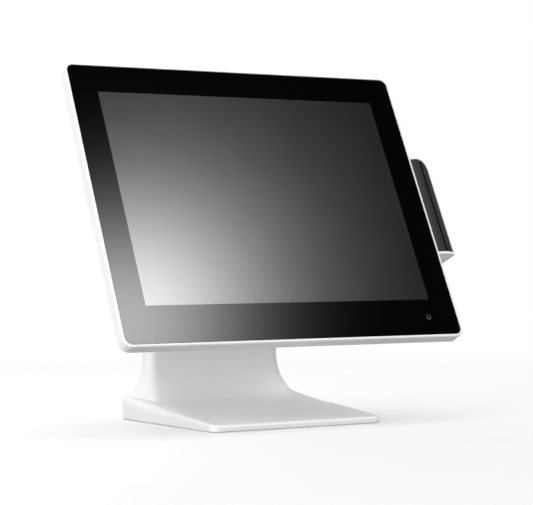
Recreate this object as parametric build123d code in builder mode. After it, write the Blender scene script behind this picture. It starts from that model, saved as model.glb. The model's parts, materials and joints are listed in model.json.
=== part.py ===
from build123d import *
import math
import os

os.makedirs("parts", exist_ok=True)

# A 15 inch point-of-sale touch terminal: a tilting display head with a card reader on its
# right side, carried by a friction hinge on a wedge-shaped stand.
# Millimetres. The origin is on the table under the centre of the stand's footprint,
# +X is the viewer's right, +Y points away from the viewer and +Z is up.

# ---------------------------------------------------------------- driving dimensions
lean_deg = 27.2  # the screen's lean back from vertical, as modelled
screen_y = -38.0  # centre of the display area on the front of the glass
screen_z = 218.5

glass_w = 358.4
glass_h = 295.8
glass_t = 3.0
glass_r = 7.0
glass_drop = 4.3  # the glass reaches further below the display than above it

bezel_w = 363.0
bezel_h = 301.0
bezel_r = 9.5
bezel_front = -0.5  # the bezel stands this far proud of the glass
seam_depth = 3.6  # back of the bezel's visible band
seam_gap = 0.4
ledge_back = 5.0  # back of the ledge that holds the glass
window_w = 329.0  # opening in the bezel behind the glass
window_h = 262.0
tongue_back = 10.0

wall = 2.6  # plastic wall thickness
side_depth = 12.0  # depth of the housing's straight side wall
taper_depth = 28.0
back_depth = 46.0
taper_w = 300.0
taper_h = 238.0
bulge_w = 256.0
bulge_h = 194.0
bulge_y = -1.0
bulge_bottom = bulge_y - bulge_h / 2

tray_w = 326.0  # 15 inch display module
tray_h = 253.0
cell_w = 318.0
cell_h = 244.0
active_w = 304.1
active_h = 228.1
gasket_t = 1.0
cell_t = 2.2
tray_t = 6.6
plate_front = 13.0
plate_t = 1.2
plate_back = plate_front + plate_t

board_w = 170.0
board_h = 160.0
board_y = -5.0
board_front = 20.2
board_t = 1.6
board_back = board_front + board_t

bay_half_w = 92.0  # recess below the bulge, for the cable plugs
bay_bottom = -137.0
bay_front = 19.5
bay_wall = 2.4
cover_clear = 0.6

hinge_depth = 66.0  # hinge axis behind the glass
hinge_up = -10.0  # hinge axis above the display centre, along the screen
pin_r = 4.0
pin_clear = 0.05
eye_r = 9.0
head_ear_x = 36.0
head_ear_t = 4.0
stand_ear_x = 31.0
stand_ear_t = 3.9
barrel_r = 15.5
barrel_wall = 2.4
barrel_half_w = 62.0
head_plate_t = 2.5

base_depth = 200.0
base_front_w = 182.0
base_rear_w = 194.0
base_gap = 0.8  # skirt stands this far off the table
base_slope = 0.085
base_mid_top = 15.2  # height of the base's top at mid depth
base_wall = 2.6
front_corner_r = 9.0
rear_corner_r = 12.0
top_edge_r = 3.0

neck_y = 86.0  # middle of the upright neck
neck_half_t = 11.0
neck_bend_z = 62.0  # the neck leans forward above this height
neck_bend_r = 110.0
neck_half_w = 75.0
neck_top_half_w = 69.0
neck_wall = 2.4
flare_low_z = 7.0
flare_high_z = 60.0
flare_width = 19.5  # how far the neck's rear edges flare out at the base
front_flare = 7.0  # and its front edges
sweep_r = 42.0  # concave sweep from the base up into the neck
neck_corner_r = 9.5

frame_t = 3.0
frame_half_w = 30.0
plate_bottom_z = 1.5
bottom_t = 2.0
ballast_bottom = plate_bottom_z + bottom_t
ballast_t = 6.0
ballast_top = ballast_bottom + ballast_t

reader_x0 = 181.8  # inner and outer side, across the head
reader_x1 = 206.2
reader_top = 52.0  # up the screen
reader_low = -58.0
reader_cap_t = 2.6  # thickness of the lower end cap
reader_crown = 4.6  # depth of the crowned front at its nearest
reader_shoulder = 9.0  # depth where the front's crown meets the sides
reader_back = 36.0
reader_taper = 6.0  # the outer side runs inward by this much towards the rear
reader_corner_r = 14.0  # large outer corner at the top
reader_wall = 1.4
reader_clear = 0.15  # between the shell and the black slot cheeks
slot_x0 = 195.5
slot_x1 = 197.1
slot_floor = 28.0

# ---------------------------------------------------------------- planes and small helpers
lean = math.radians(lean_deg)
lean_cos = math.cos(lean)
lean_sin = math.sin(lean)
screen = Plane(origin=(0, screen_y, screen_z), x_dir=(1, 0, 0), z_dir=(0, -lean_cos, lean_sin))
screen_axis = Axis(screen.origin, screen.z_dir)


def behind(depth):
    """Plane parallel to the glass, the given depth behind its front face."""
    return screen.offset(-depth)


def head_side(x):
    """Plane across the head at x: its local x is depth and its local y is up the screen."""
    return Plane(origin=(x, screen_y, screen_z), x_dir=(0, lean_cos, -lean_sin), z_dir=(1, 0, 0))


def head_level(up):
    """Plane square to the screen's height: its local x is X and its local y is depth."""
    origin = (0, screen_y + up * lean_sin, screen_z + up * lean_cos)
    return Plane(origin=origin, x_dir=(1, 0, 0), z_dir=(0, lean_sin, lean_cos))


def head_point(x, up, depth):
    """A point of the head in the part's own frame."""
    y = screen_y + up * lean_sin + depth * lean_cos
    z = screen_z + up * lean_cos - depth * lean_sin
    return Vector(x, y, z)


def base_top(y):
    """Height of the base's top surface at y."""
    return base_mid_top + base_slope * y


def four(x, y):
    """Four points, at plus and minus x and y."""
    return [(-x, -y), (x, -y), (-x, y), (x, y)]


pivot = head_point(0, hinge_up, hinge_depth)
bend_centre_y = neck_y - neck_bend_r
reach = math.hypot(pivot.Y - bend_centre_y, pivot.Z - neck_bend_z)
bend = math.atan2(pivot.Z - neck_bend_z, pivot.Y - bend_centre_y) - math.acos(neck_bend_r / reach)
bend_deg = math.degrees(bend)
arm_length = math.sqrt(reach**2 - neck_bend_r**2)
arm_dir = Vector(0, math.sin(bend), -math.cos(bend))


def arm_side(x):
    """Plane across the arm at x, from the hinge axis: local x runs down the arm, local y backward."""
    return Plane(origin=(x, pivot.Y, pivot.Z), x_dir=arm_dir, z_dir=(1, 0, 0))


# ---------------------------------------------------------------- display head, front
with BuildPart() as touch_glass:
    with BuildSketch(behind(glass_t)):
        with Locations((0, -glass_drop)):
            RectangleRounded(glass_w, glass_h, glass_r)
    extrude(amount=glass_t)
    chamfer(touch_glass.faces().sort_by(screen_axis)[-1].edges(), 0.4)
touch_glass.part.label = "touch_glass"
export_step(touch_glass.part, "parts/touch_glass.step")

post_x = 167.6
post_ys = (118.0, -8.0, -126.0)
posts = [(side * post_x, y) for side in (-1, 1) for y in post_ys]
post_r = 3.0
power_x = 147.1  # centre of the touch power key
power_y = -133.3
glass_clear = 0.2

with BuildPart() as front_bezel:
    with BuildSketch(behind(seam_depth)):
        with Locations((0, -glass_drop)):
            RectangleRounded(bezel_w, bezel_h, bezel_r)
    extrude(amount=seam_depth - bezel_front)
    fillet(front_bezel.faces().sort_by(screen_axis)[-1].edges(), 1.6)
    with BuildSketch(behind(tongue_back)):
        with Locations((0, -glass_drop)):
            RectangleRounded(bezel_w - 2 * wall - 1.2, bezel_h - 2 * wall - 1.2, bezel_r - wall)
    extrude(amount=tongue_back - seam_depth)
    with BuildSketch(behind(tongue_back)):
        with Locations((0, -glass_drop)):
            RectangleRounded(bezel_w - 2 * wall - 4.2, bezel_h - 2 * wall - 4.2, bezel_r - wall - 1.5)
    extrude(amount=tongue_back - ledge_back, mode=Mode.SUBTRACT)
    with BuildSketch(behind(glass_t)):
        with Locations((0, -glass_drop)):
            RectangleRounded(glass_w + 2 * glass_clear, glass_h + 2 * glass_clear, glass_r + glass_clear)
    extrude(amount=2 * glass_t, mode=Mode.SUBTRACT)
    with BuildSketch(behind(plate_front)):
        with Locations(*posts):
            Circle(post_r)
    extrude(amount=plate_front - ledge_back + 0.5)
    with BuildSketch(behind(plate_front)):
        with Locations(*posts):
            Circle(1.4)
    extrude(amount=7.0, mode=Mode.SUBTRACT)
    with BuildSketch(behind(ledge_back)):
        with Locations((0, -1.0)):
            Rectangle(window_w, window_h)
        with Locations((power_x, power_y - 2.2)):
            Rectangle(27.0, 14.0)
    extrude(amount=2 * ledge_back, mode=Mode.SUBTRACT)
front_bezel.part.label = "front_bezel"
export_step(front_bezel.part, "parts/front_bezel.step")

with BuildPart() as glass_gasket:
    with BuildSketch(behind(glass_t + gasket_t)):
        RectangleRounded(cell_w, cell_h, 2.0)
        Rectangle(active_w + 2.0, active_h + 2.0, mode=Mode.SUBTRACT)
    extrude(amount=gasket_t)
glass_gasket.part.label = "glass_gasket"
export_step(glass_gasket.part, "parts/glass_gasket.step")

cell_front = glass_t + gasket_t
with BuildPart() as lcd_cell:
    with BuildSketch(behind(cell_front + cell_t)):
        RectangleRounded(cell_w, cell_h, 1.0)
    extrude(amount=cell_t)
lcd_cell.part.label = "lcd_cell"
export_step(lcd_cell.part, "parts/lcd_cell.step")

tray_back = cell_front + cell_t + tray_t
with BuildPart() as lcd_backlight:
    with BuildSketch(behind(tray_back)):
        RectangleRounded(tray_w, tray_h, 2.0)
    extrude(amount=tray_t)
    with BuildSketch(behind(tray_back)):
        with GridLocations(tray_w / 3, tray_h / 2, 3, 2):
            RectangleRounded(88.0, 96.0, 4.0)
    extrude(amount=0.8, mode=Mode.SUBTRACT)
lcd_backlight.part.label = "lcd_backlight"
export_step(lcd_backlight.part, "parts/lcd_backlight.step")

with BuildPart() as power_key_board:
    with BuildSketch(behind(glass_t + 1.2)):
        with Locations((power_x, power_y - 2.2)):
            RectangleRounded(24.0, 12.0, 1.0)
    extrude(amount=1.2)
    with BuildSketch(behind(glass_t + 2.4)):
        with Locations((power_x - 6.0, power_y - 2.2), (power_x + 7.0, power_y - 2.2)):
            Rectangle(3.5, 5.0)
    extrude(amount=1.2)
power_key_board.part.label = "power_key_board"
export_step(power_key_board.part, "parts/power_key_board.step")

# ---------------------------------------------------------------- display head, inside
stand_off_x = 79.0
stand_off_points = [(x, board_y + y) for x, y in four(stand_off_x, 74.0)]
housing_points = [(-115.0, -82.0), (115.0, -82.0), (-115.0, 70.0), (115.0, 70.0)]
cable_x = -30.0

with BuildPart() as chassis_plate:
    with BuildSketch(behind(plate_back)):
        with Locations((0, -4.0)):
            RectangleRounded(347.0, 276.0, 12.0)
        with Locations(*posts):
            Circle(1.5, mode=Mode.SUBTRACT)
        with Locations(*housing_points):
            Circle(1.6, mode=Mode.SUBTRACT)
        with Locations(*stand_off_points):
            Circle(1.8, mode=Mode.SUBTRACT)
        with Locations((cable_x, 90.5)):
            RectangleRounded(36.0, 13.0, 3.0, mode=Mode.SUBTRACT)
        with Locations((-128.0, 0.0), (128.0, 0.0)):
            RectangleRounded(44.0, 90.0, 8.0, mode=Mode.SUBTRACT)
        with Locations((power_x, power_y - 2.2)):
            Rectangle(22.0, 12.0, mode=Mode.SUBTRACT)
    extrude(amount=plate_t)
chassis_plate.part.label = "chassis_plate"
export_step(chassis_plate.part, "parts/chassis_plate.step")

with BuildPart() as chassis_standoffs:
    with BuildSketch(behind(board_front)):
        with Locations(*stand_off_points):
            RegularPolygon(3.2, 6)
            Circle(1.55, mode=Mode.SUBTRACT)
    extrude(amount=board_front - plate_back)
chassis_standoffs.part.label = "chassis_standoffs"
export_step(chassis_standoffs.part, "parts/chassis_standoffs.step")

with BuildPart() as mainboard:
    with BuildSketch(behind(board_back)):
        with Locations((0, board_y)):
            RectangleRounded(board_w, board_h, 2.0)
        with Locations(*stand_off_points):
            Circle(1.7, mode=Mode.SUBTRACT)
    extrude(amount=board_t)
mainboard.part.label = "mainboard"
export_step(mainboard.part, "parts/mainboard.step")

chip_t = 2.0
socket_t = 3.2
capacitor_t = 8.0
processor_at = (0.0, -10.0)
memory_at = (-42.0, 55.0)
drive_at = (38.0, 55.0)
chip_column = -62.0  # the bridge chip, the clock battery and a controller stand in one column
capacitor_points = [(-60.0 + 12.0 * n, 31.0) for n in range(2)] + [(60.0, -2.0 - 13.0 * n) for n in range(4)]
with BuildPart() as board_components:
    with BuildSketch(behind(board_back + chip_t)):
        with Locations(processor_at):
            Rectangle(30.0, 30.0)
        with Locations((chip_column, -20.0)):
            Rectangle(18.0, 18.0)
        with Locations((chip_column, -46.0), (12.0, 32.0)):
            Rectangle(10.0, 10.0)
    extrude(amount=chip_t)
    with BuildSketch(behind(board_back + socket_t)):
        with Locations((memory_at[0], memory_at[1] + 17.0)):
            Rectangle(68.0, 4.0)
        with Locations((drive_at[0] - 42.0, drive_at[1])):
            Rectangle(4.0, 22.0)
        with Locations((chip_column, 5.0)):
            Circle(10.2)
    extrude(amount=socket_t)
    with BuildSketch(behind(board_back + capacitor_t)):
        with Locations(*capacitor_points):
            Circle(4.0)
    extrude(amount=capacitor_t)
board_components.part.label = "board_components"
export_step(board_components.part, "parts/board_components.step")

fin_count = 12
fin_t = 1.2
fin_h = 12.0
sink_w = 70.0
sink_h = 60.0
sink_base_t = 3.0
sink_front = board_back + chip_t
with BuildPart() as heatsink:
    with BuildSketch(behind(sink_front + sink_base_t)):
        with Locations(processor_at):
            Rectangle(sink_w, sink_h)
    extrude(amount=sink_base_t)
    with BuildSketch(behind(sink_front + sink_base_t + fin_h)):
        with Locations(processor_at):
            with GridLocations((sink_w - fin_t) / (fin_count - 1), 0, fin_count, 1):
                Rectangle(fin_t, sink_h)
    extrude(amount=fin_h)
heatsink.part.label = "heatsink"
export_step(heatsink.part, "parts/heatsink.step")

with BuildPart() as memory_module:
    with BuildSketch(behind(board_back + socket_t + 1.2)):
        with Locations((memory_at[0], memory_at[1] + 3.0)):
            Rectangle(67.6, 30.0)
    extrude(amount=1.2)
    with BuildSketch(behind(board_back + socket_t + 2.4)):
        with Locations((memory_at[0], memory_at[1])):
            with GridLocations(15.0, 0, 4, 1):
                Rectangle(11.0, 14.0)
    extrude(amount=1.2)
memory_module.part.label = "memory_module"
export_step(memory_module.part, "parts/memory_module.step")

with BuildPart() as solid_state_drive:
    with BuildSketch(behind(board_back + socket_t + 0.8)):
        with Locations(drive_at):
            Rectangle(80.0, 22.0)
    extrude(amount=0.8)
    with BuildSketch(behind(board_back + socket_t + 2.2)):
        with Locations((drive_at[0] - 18.0, drive_at[1]), (drive_at[0] + 12.0, drive_at[1])):
            Rectangle(22.0, 16.0)
    extrude(amount=1.4)
solid_state_drive.part.label = "solid_state_drive"
export_step(solid_state_drive.part, "parts/solid_state_drive.step")

cable_t = 0.4
cable_root = 77.5  # where the flat cable leaves the mainboard
with BuildPart() as display_cable:
    with BuildSketch(head_side(cable_x - 14.0)):
        with BuildLine():
            Polyline(
                (board_back + cable_t, cable_root),
                (board_back + cable_t, 79.2),
                (tray_back + cable_t, 90.2),
                (tray_back + cable_t, 95.0),
                (tray_back, 95.0),
                (tray_back, 90.0),
                (board_back, 79.0),
                (board_back, cable_root),
                close=True,
            )
        make_face()
    extrude(amount=28.0)
display_cable.part.label = "display_cable"
export_step(display_cable.part, "parts/display_cable.step")

with BuildPart() as touch_controller:
    with BuildSketch(behind(plate_back + 1.2)):
        with Locations((-70.0, 108.0)):
            Rectangle(56.0, 24.0)
    extrude(amount=1.2)
    with BuildSketch(behind(plate_back + 2.6)):
        with Locations((-78.0, 108.0), (-54.0, 108.0)):
            Rectangle(12.0, 12.0)
    extrude(amount=1.4)
touch_controller.part.label = "touch_controller"
export_step(touch_controller.part, "parts/touch_controller.step")

speaker_points = [(-122.0, -112.0), (122.0, -112.0)]
speaker_t = 7.0
with BuildPart() as speakers:
    with BuildSketch(behind(plate_back + speaker_t)):
        with Locations(*speaker_points):
            RectangleRounded(40.0, 24.0, 3.0)
    extrude(amount=speaker_t)
    with BuildSketch(behind(plate_back + speaker_t)):
        with Locations(*speaker_points):
            SlotOverall(34.0, 18.0)
            SlotOverall(28.0, 12.0, mode=Mode.SUBTRACT)
    extrude(amount=1.2, mode=Mode.SUBTRACT)
speakers.part.label = "speakers"
export_step(speakers.part, "parts/speakers.step")

# ---------------------------------------------------------------- ports on the mainboard's lower edge
port_mouth = bulge_bottom - 1.0
port_floor = board_back


def port_shell(x, width, height, length):
    """A metal port shell on the mainboard, with its mouth facing down the screen."""
    with BuildPart() as shell:
        with BuildSketch(head_level(port_mouth)):
            with Locations((x, port_floor + height / 2)):
                Rectangle(width, height)
        extrude(amount=length)
    return shell.part


def port_cavity(x, width, height, up, depth):
    """The hollow of a port, sunk from its mouth; up is its middle above the board."""
    with BuildPart() as cavity:
        with BuildSketch(head_level(port_mouth - 1.0)):
            with Locations((x, port_floor + up)):
                Rectangle(width, height)
        extrude(amount=depth + 1.0)
    return cavity.part


usb_xs = (-30.0, -12.0)
usb_levels = (4.3, 11.6)
usb_h = 15.6
usb_bodies = [port_shell(x, 13.2, usb_h, 18.0) for x in usb_xs]
usb_hollows = [port_cavity(x, 12.2, 5.2, up, 12.0) for x in usb_xs for up in usb_levels]
usb_tongues = [port_shell(x, 11.0, usb_h, 17.0) & port_cavity(x, 11.0, 1.9, up + 1.2, 17.0)
               for x in usb_xs for up in usb_levels]
with BuildPart() as usb_ports:
    add(usb_bodies)
    add(usb_hollows, mode=Mode.SUBTRACT)
    add(usb_tongues)
usb_ports.part.label = "usb_ports"
export_step(usb_ports.part, "parts/usb_ports.step")

network_xs = (8.0, 26.0, 44.0)
network_h = 13.4
network_bodies = [port_shell(x, 16.0, network_h, 19.0) for x in network_xs]
network_hollows = [port_cavity(x, 11.8, 6.8, 7.4, 13.0) for x in network_xs]
network_contacts = [port_shell(x, 9.0, network_h, 18.0) & port_cavity(x, 9.0, 3.0, 9.3, 18.0)
                    for x in network_xs]
with BuildPart() as network_ports:
    add(network_bodies)
    add(network_hollows, mode=Mode.SUBTRACT)
    add(network_contacts)
network_ports.part.label = "network_ports"
export_step(network_ports.part, "parts/network_ports.step")

dc_x = -56.0
dc_h = 12.0
with BuildPart() as dc_inlet:
    with BuildSketch(head_level(port_mouth)):
        with Locations((dc_x, port_floor + dc_h / 2)):
            Rectangle(14.0, dc_h)
    extrude(amount=17.0)
    with BuildSketch(head_level(port_mouth)):
        with Locations((dc_x, port_floor + dc_h / 2)):
            Circle(4.4)
            Circle(1.2, mode=Mode.SUBTRACT)
    extrude(amount=10.0, mode=Mode.SUBTRACT)
dc_inlet.part.label = "dc_inlet"
export_step(dc_inlet.part, "parts/dc_inlet.step")

video_x = 70.0
video_h = 12.4
with BuildPart() as video_port:
    with BuildSketch(head_level(port_mouth)):
        with Locations((video_x, port_floor + video_h / 2)):
            RectangleRounded(24.0, video_h, 1.5)
    extrude(amount=16.0)
    with BuildSketch(head_level(port_mouth)):
        with Locations((video_x, port_floor + video_h / 2)):
            RectangleRounded(19.0, 8.6, 2.5)
            RectangleRounded(16.4, 6.0, 1.6, mode=Mode.SUBTRACT)
    extrude(amount=6.0, mode=Mode.SUBTRACT)
video_port.part.label = "video_port"
export_step(video_port.part, "parts/video_port.step")

# ---------------------------------------------------------------- rear housing
hinge_screw_x = 46.0
hinge_screw_y = 33.0
hinge_screws = [(x, hinge_up + y) for x, y in four(hinge_screw_x, hinge_screw_y)]
reader_screw_x = 160.0
reader_screw_ys = (-30.0, 25.0)
reader_screw_points = [(reader_screw_x, y) for y in reader_screw_ys]
housing_front = seam_depth + seam_gap
back_corner_r = 20.0  # of the raised back, seen from behind
slope_corner_r = 30.0
rim_r = 6.0  # rounding of the back's rim
boss_front = 16.0  # front end of the reader's screw holes
vent_count = 15
vent_pitch = 12.0
vent_w = 3.0
vent_length = 34.0
vent_up = 66.0
top_vent_length = 8.0
top_vent_depth = 36.0


def housing_form(inset):
    """The housing's outer form, or with an inset the space inside its wall."""
    front = housing_front - 2.0 * math.copysign(1.0, inset) if inset else housing_front
    side_w = bezel_w - 0.4 - 2 * inset
    side_h = bezel_h - 0.4 - 2 * inset
    side_r = bezel_r - 0.2 - inset
    low_w = taper_w - 2 * inset
    low_h = taper_h - 2 * inset
    low_depth = taper_depth - 0.6 * inset
    with BuildPart() as form:
        with BuildSketch(behind(side_depth)):
            with Locations((0, -glass_drop)):
                RectangleRounded(side_w, side_h, side_r)
        extrude(amount=side_depth - front)
        with BuildSketch(behind(side_depth)):
            with Locations((0, -glass_drop)):
                RectangleRounded(side_w, side_h, side_r)
        with BuildSketch(behind(low_depth)):
            with Locations((0, -glass_drop)):
                RectangleRounded(low_w, low_h, slope_corner_r - inset)
        loft(ruled=True)
        with BuildSketch(behind(back_depth - inset)):
            with Locations((0, bulge_y)):
                RectangleRounded(bulge_w - 2 * inset, bulge_h - 2 * inset, back_corner_r - inset)
        extrude(amount=back_depth - inset - side_depth)
        if not inset:
            rim = form.faces().sort_by(screen_axis)[0].edges()
            fillet(rim, rim_r)
    return form.part


def bay_form(grow):
    """The plug bay under the bulge; grown by its wall it gives the bay's outside."""
    with BuildPart() as form:
        with BuildSketch(head_side(-bay_half_w - grow)):
            with BuildLine():
                Polyline(
                    (bay_front - grow, bulge_bottom + grow),
                    (back_depth + 5.0, bulge_bottom + grow),
                    (back_depth + 5.0, bay_bottom - grow),
                    (bay_front - grow, bay_bottom - grow),
                    close=True,
                )
            make_face()
        extrude(amount=2 * (bay_half_w + grow))
    return form.part


outer_form = housing_form(0)
inner_form = housing_form(wall)
bay_walls = bay_form(bay_wall) & outer_form
bay_space = bay_form(0)

with BuildPart() as rear_housing:
    add(outer_form)
    add(inner_form, mode=Mode.SUBTRACT)
    add(bay_walls)
    add(bay_space, mode=Mode.SUBTRACT)
    # long bosses to the chassis, short ones for the hinge plate
    with BuildSketch(behind(back_depth - 1.0)):
        with Locations(*housing_points):
            Circle(4.4)
    extrude(amount=back_depth - 1.0 - plate_back)
    with BuildSketch(behind(back_depth - 1.0)):
        with Locations(*hinge_screws):
            Circle(5.5)
    extrude(amount=15.0)
    with BuildSketch(behind(back_depth)):
        with Locations(*housing_points):
            Circle(1.7)
    extrude(amount=back_depth, mode=Mode.SUBTRACT)
    with BuildSketch(behind(back_depth)):
        with Locations(*housing_points):
            Circle(3.6)
    extrude(amount=5.0, mode=Mode.SUBTRACT)
    with BuildSketch(behind(back_depth)):
        with Locations(*hinge_screws):
            Circle(2.1)
    extrude(amount=14.0, mode=Mode.SUBTRACT)
    with BuildSketch(behind(back_depth)):
        with Locations(*reader_screw_points):
            Circle(1.4)
    extrude(amount=back_depth - boss_front, mode=Mode.SUBTRACT)
    # the ports' window into the bay
    with BuildSketch(head_level(bulge_bottom - 1.0)):
        with Locations((6.0, port_floor + 7.6)):
            RectangleRounded(160.0, 17.4, 1.0)
    extrude(amount=wall + 3.0, mode=Mode.SUBTRACT)
    # cooling slots across the back above the hinge plate, and along the bulge's top
    with BuildSketch(behind(back_depth)):
        with Locations((0, vent_up)):
            with GridLocations(vent_pitch, 0, vent_count, 1):
                SlotOverall(vent_length, vent_w, rotation=90)
    extrude(amount=wall + 1.0, mode=Mode.SUBTRACT)
    with BuildSketch(head_level(bulge_y + bulge_h / 2 + 1.0)):
        with Locations((0, top_vent_depth)):
            with GridLocations(vent_pitch, 0, vent_count, 1):
                SlotOverall(top_vent_length, vent_w, rotation=90)
    extrude(amount=-wall - 2.0, mode=Mode.SUBTRACT)
rear_housing.part.label = "rear_housing"
export_step(rear_housing.part, "parts/rear_housing.step")

# lift-off cover over the plug bay, with a cable mouth at its lower edge
cover_half_w = bay_half_w - cover_clear
cover_t = 2.4
cover_top = bulge_bottom - seam_gap
cover_front = 22.0
cover_lip = 24.0  # depth of the cover's lower edge
cover_knee = -114.0  # where the cover turns towards its lower edge
cover_low = bay_bottom + cover_clear
mouth_half_w = 30.0

with BuildPart() as io_cover:
    with BuildSketch(head_side(-cover_half_w)):
        with BuildLine():
            Polyline(
                (cover_front, cover_top),
                (back_depth, cover_top),
                (back_depth, cover_knee),
                (cover_lip, cover_low),
                (cover_front, cover_low),
                close=True,
            )
        make_face()
    extrude(amount=2 * cover_half_w)
    fillet(io_cover.edges().filter_by(Axis.X).sort_by(screen_axis)[0:2], 5.0)
    with BuildSketch(head_side(-cover_half_w + cover_t)):
        with BuildLine():
            Polyline(
                (cover_front - 1.0, cover_top + 1.0),
                (back_depth - cover_t, cover_top + 1.0),
                (back_depth - cover_t, cover_knee + cover_t),
                (cover_lip - 1.0, cover_low + cover_t + 0.6),
                (cover_front - 1.0, cover_low + cover_t + 0.6),
                close=True,
            )
        make_face()
    extrude(amount=2 * (cover_half_w - cover_t), mode=Mode.SUBTRACT)
    with BuildSketch(head_side(-mouth_half_w)):
        with Locations((cover_lip + 2.0, cover_low - 2.0)):
            Rectangle(20.0, 24.0)
    extrude(amount=2 * mouth_half_w, mode=Mode.SUBTRACT)
io_cover.part.label = "io_cover"
export_step(io_cover.part, "parts/io_cover.step")

# ---------------------------------------------------------------- screws of the head
def screws(points, head_r, head_t, seat_depth, shank_r, shank_end, recess_r):
    """Pan-head screws driven from behind, each with a socket in its head."""
    with BuildPart() as group:
        with BuildSketch(behind(seat_depth + head_t)):
            with Locations(*points):
                Circle(head_r)
        extrude(amount=head_t)
        with BuildSketch(behind(seat_depth)):
            with Locations(*points):
                Circle(shank_r)
        extrude(amount=seat_depth - shank_end)
        with BuildSketch(behind(seat_depth + head_t)):
            with Locations(*points):
                RegularPolygon(recess_r, 6)
        extrude(amount=head_t * 0.6, mode=Mode.SUBTRACT)
    return group.part


chassis_screws = screws(posts, 2.4, 1.4, plate_back, 1.25, 7.0, 1.0)
chassis_screws.label = "chassis_screws"
export_step(chassis_screws, "parts/chassis_screws.step")

board_screws = screws(stand_off_points, 2.8, 1.8, board_back, 1.4, 15.0, 1.2)
board_screws.label = "board_screws"
export_step(board_screws, "parts/board_screws.step")

housing_screws = screws(housing_points, 3.2, 2.6, back_depth - 5.0, 1.5, 13.4, 1.5)
housing_screws.label = "housing_screws"
export_step(housing_screws, "parts/housing_screws.step")

hinge_plate_screws = screws(hinge_screws, 3.6, 2.4, back_depth + head_plate_t, 1.95, 33.0, 1.6)
hinge_plate_screws.label = "hinge_plate_screws"
export_step(hinge_plate_screws, "parts/hinge_plate_screws.step")

# ---------------------------------------------------------------- card reader on the right side
bracket_low = -45.0
bracket_length = 85.0
bracket_back = reader_back - 1.0
bracket_x0 = 152.0  # end of the bracket's flange over the housing's slope
slope_depth = 28.3  # depth of the housing's slope at the flange's end
bracket_front = side_depth + 1.0
screw_sink = 4.0

with BuildPart() as reader_bracket:
    with BuildSketch(head_level(bracket_low)):
        with BuildLine():
            Polyline(
                (reader_x0 - 1.7, bracket_front),
                (reader_x0, bracket_front),
                (reader_x0, bracket_back),
                (bracket_x0, bracket_back),
                (bracket_x0, slope_depth),
                (bracket_x0 - 1.4, slope_depth),
                close=True,
            )
        make_face()
    extrude(amount=bracket_length)
    with BuildSketch(behind(reader_back)):
        with Locations(*reader_screw_points):
            Circle(1.7)
    extrude(amount=30.0, mode=Mode.SUBTRACT)
    with BuildSketch(behind(reader_back)):
        with Locations(*reader_screw_points):
            Circle(3.2)
    extrude(amount=screw_sink, mode=Mode.SUBTRACT)
reader_bracket.part.label = "reader_bracket"
export_step(reader_bracket.part, "parts/reader_bracket.step")

reader_screws = screws(reader_screw_points, 2.8, 1.8, reader_back - screw_sink, 1.3, 18.5, 1.2)
reader_screws.label = "reader_screws"
export_step(reader_screws, "parts/reader_screws.step")


def reader_front_view(inset, low, high):
    """The reader's outline seen from the front, deep enough for the whole reader."""
    left = reader_x0 + inset
    right = reader_x1 - inset
    big_r = reader_corner_r - inset
    with BuildPart() as form:
        with BuildSketch(behind(reader_back + 2.0)):
            with BuildLine():
                Line((left, low), (left, high))
                Line((left, high), (right - big_r, high))
                RadiusArc((right - big_r, high), (right, high - big_r), big_r)
                Line((right, high - big_r), (right, low))
                Line((right, low), (left, low))
            make_face()
        extrude(amount=reader_back + 4.0)
    return form.part


def reader_section(inset):
    """The reader's tapered section seen along the slot, open to the front and tall enough."""
    left = reader_x0 + inset
    right = reader_x1 - inset
    back = reader_back - inset
    rear_corner = (right - reader_taper, back)
    with BuildPart() as form:
        with BuildSketch(head_level(reader_low - 10.0)) as section:
            with BuildLine():
                Polyline((left, 0), (right, 0), (right, reader_shoulder), rear_corner, (left, back), close=True)
            make_face()
            fillet(section.vertices().sort_by_distance(rear_corner)[0], 5.0 - inset)
        extrude(amount=reader_top - reader_low + 20.0)
    return form.part


def behind_crown(sink):
    """Everything behind the reader's crowned front, or behind that front sunk by the amount."""
    near = (reader_x0 - 1.0, reader_shoulder - 1.5 + sink)
    middle = ((reader_x0 + reader_x1) / 2 - 2.0, reader_crown + sink)
    far = (reader_x1 + 1.0, reader_shoulder + sink)
    rear = reader_back + 2.0
    with BuildPart() as form:
        with BuildSketch(head_level(reader_low - 10.0)):
            with BuildLine():
                ThreePointArc(near, middle, far)
                Polyline(far, (far[0], rear), (near[0], rear), near)
            make_face()
        extrude(amount=reader_top - reader_low + 20.0)
    return form.part


cheek_inset = reader_wall + reader_clear
cheek_view = reader_front_view(cheek_inset, reader_low + 0.2, reader_top - cheek_inset)
cheek_form = cheek_view & reader_section(cheek_inset) & behind_crown(0.5)
shell_form = reader_front_view(0, reader_low, reader_top) & reader_section(0) & behind_crown(0)
hollow_view = reader_front_view(reader_wall, reader_low - 1.0, reader_top - reader_wall)
shell_hollow = hollow_view & reader_section(reader_wall)

with BuildPart() as reader_shell:
    add(shell_form)
    add(shell_hollow, mode=Mode.SUBTRACT)
reader_shell.part.label = "reader_shell"
export_step(reader_shell.part, "parts/reader_shell.step")

head_y = -5.0  # magnetic head's place along the slot
head_t = 8.0  # its size along the card's depth
head_depth = 21.0
head_start = 191.5
lip = 0.4  # the cheeks' edges lead the card into the slot
lip_depth = 9.6
board_mid_x = 189.4
reader_board_up = -10.0
reader_board_front = 31.2
board_space = (9.6, 70.0)

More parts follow.
